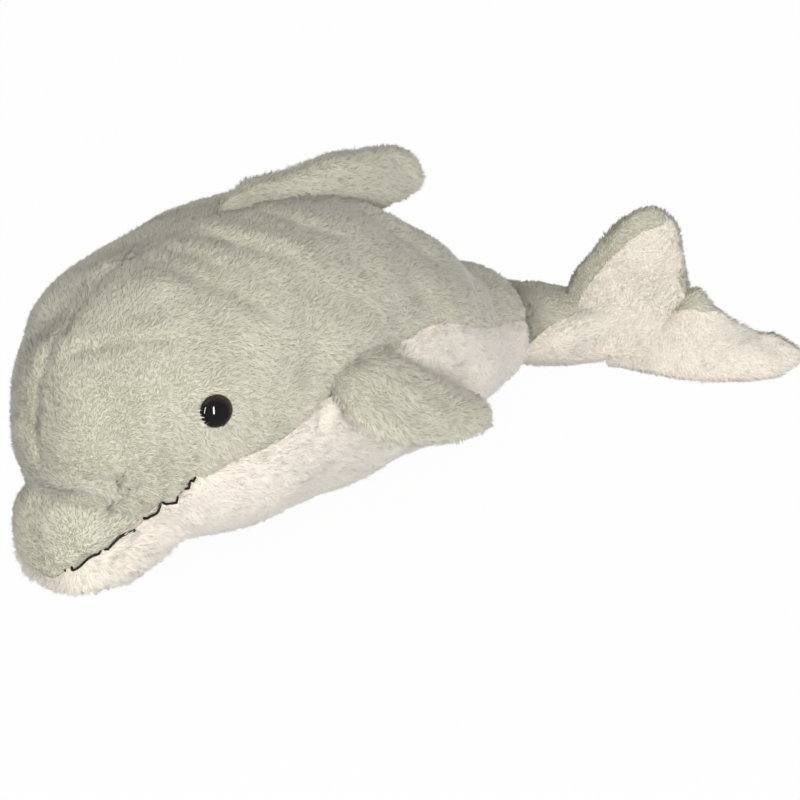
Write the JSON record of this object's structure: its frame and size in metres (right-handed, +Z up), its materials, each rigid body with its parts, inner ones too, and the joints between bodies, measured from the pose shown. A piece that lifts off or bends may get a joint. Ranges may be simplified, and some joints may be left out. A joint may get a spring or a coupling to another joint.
{
  "type": "plush dolphin",
  "caption": "Soft stuffed dolphin lying on its belly, grey plush back over a cream belly and jaw, padded fins, domed eyes and a stitched mouth, tail curled to one side.",
  "frame": {"origin": "middle of the flat of the belly, on the floor under the body", "axes": "+X from the head to the tail, +Z up from the floor, +Y to the dolphin's right side"},
  "size_m": [0.5784, 0.2629, 0.2096],
  "materials": {
    "grey_plush": "short pile plush, soft grey with a green cast",
    "cream_plush": "short pile plush, warm cream white",
    "filling": "loose polyester fibre",
    "eye": "polished black-brown dome",
    "washer": "plain moulded plastic",
    "thread": "black sewing thread"
  },
  "bodies": {
    "root": {"back_left": "grey_plush", "back_right": "grey_plush", "belly": "cream_plush", "body_filling": "filling", "beak_top": "grey_plush", "lower_jaw": "cream_plush", "beak_filling": "filling", "dorsal_fin_left": "grey_plush", "dorsal_fin_right": "grey_plush", "dorsal_fin_filling": "filling", "flipper_left_upper": "grey_plush", "flipper_left_under": "cream_plush", "flipper_left_filling": "filling", "flipper_right_upper": "grey_plush", "flipper_right_under": "cream_plush", "flipper_right_filling": "filling", "fluke_left_under": "cream_plush", "fluke_left_upper": "grey_plush", "fluke_left_filling": "filling", "fluke_right_upper": "grey_plush", "fluke_right_under": "cream_plush", "fluke_right_filling": "filling", "eye_left": "eye", "eye_right": "eye", "eye_washer_left": "washer", "eye_washer_right": "washer", "mouth_thread_beak": "thread", "mouth_thread_left": "thread", "mouth_thread_right": "thread"}
  },
  "joints": []
}
